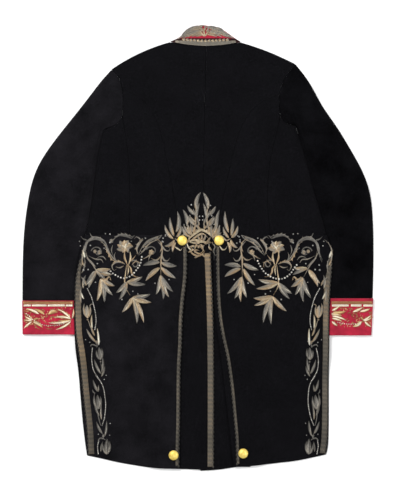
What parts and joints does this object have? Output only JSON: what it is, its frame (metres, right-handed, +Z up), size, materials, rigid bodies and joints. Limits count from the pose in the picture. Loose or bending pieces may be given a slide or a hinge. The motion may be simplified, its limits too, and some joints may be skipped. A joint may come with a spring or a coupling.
{
  "type": "embroidered uniform coat",
  "caption": "Dark wool tail coat with scarlet collar and cuffs, metal lace and goldwork leaves, laid flat on its front with its back up.",
  "frame": {"origin": "middle of the box's underside, on the surface that the coat lies on", "axes": "+Z up out of the coat's back, +Y from the hem towards the collar, +X from the wearer's left to the right"},
  "size_m": [0.775, 0.9836, 0.018],
  "materials": {
    "wool_cloth": "matt, close-napped wool",
    "scarlet_cloth": "matt wool facing cloth",
    "metal_lace": "woven metal thread, tarnished",
    "goldwork": "padded metal-thread embroidery, tarnished",
    "gilt_buttons": "polished gilt"
  },
  "bodies": {
    "root": {"back_left": "wool_cloth", "side_body_left": "wool_cloth", "front_left": "wool_cloth", "skirt_left": "wool_cloth", "top_sleeve_left": "wool_cloth", "under_sleeve_left": "wool_cloth", "cuff_left": "scarlet_cloth", "back_right": "wool_cloth", "side_body_right": "wool_cloth", "front_right": "wool_cloth", "skirt_right": "wool_cloth", "top_sleeve_right": "wool_cloth", "under_sleeve_right": "wool_cloth", "cuff_right": "scarlet_cloth", "collar": "scarlet_cloth", "centre_braid": "metal_lace", "pleat_braid_left": "metal_lace", "pleat_braid_right": "metal_lace", "edge_braid_left": "metal_lace", "edge_braid_right": "metal_lace", "crown_embroidery": "goldwork", "tail_embroidery_left": "goldwork", "tail_embroidery_right": "goldwork", "cuff_embroidery_left": "goldwork", "cuff_embroidery_right": "goldwork", "collar_embroidery": "goldwork", "waist_button_left": "gilt_buttons", "waist_button_right": "gilt_buttons", "hem_button_left": "gilt_buttons", "hem_button_right": "gilt_buttons"}
  },
  "joints": []
}
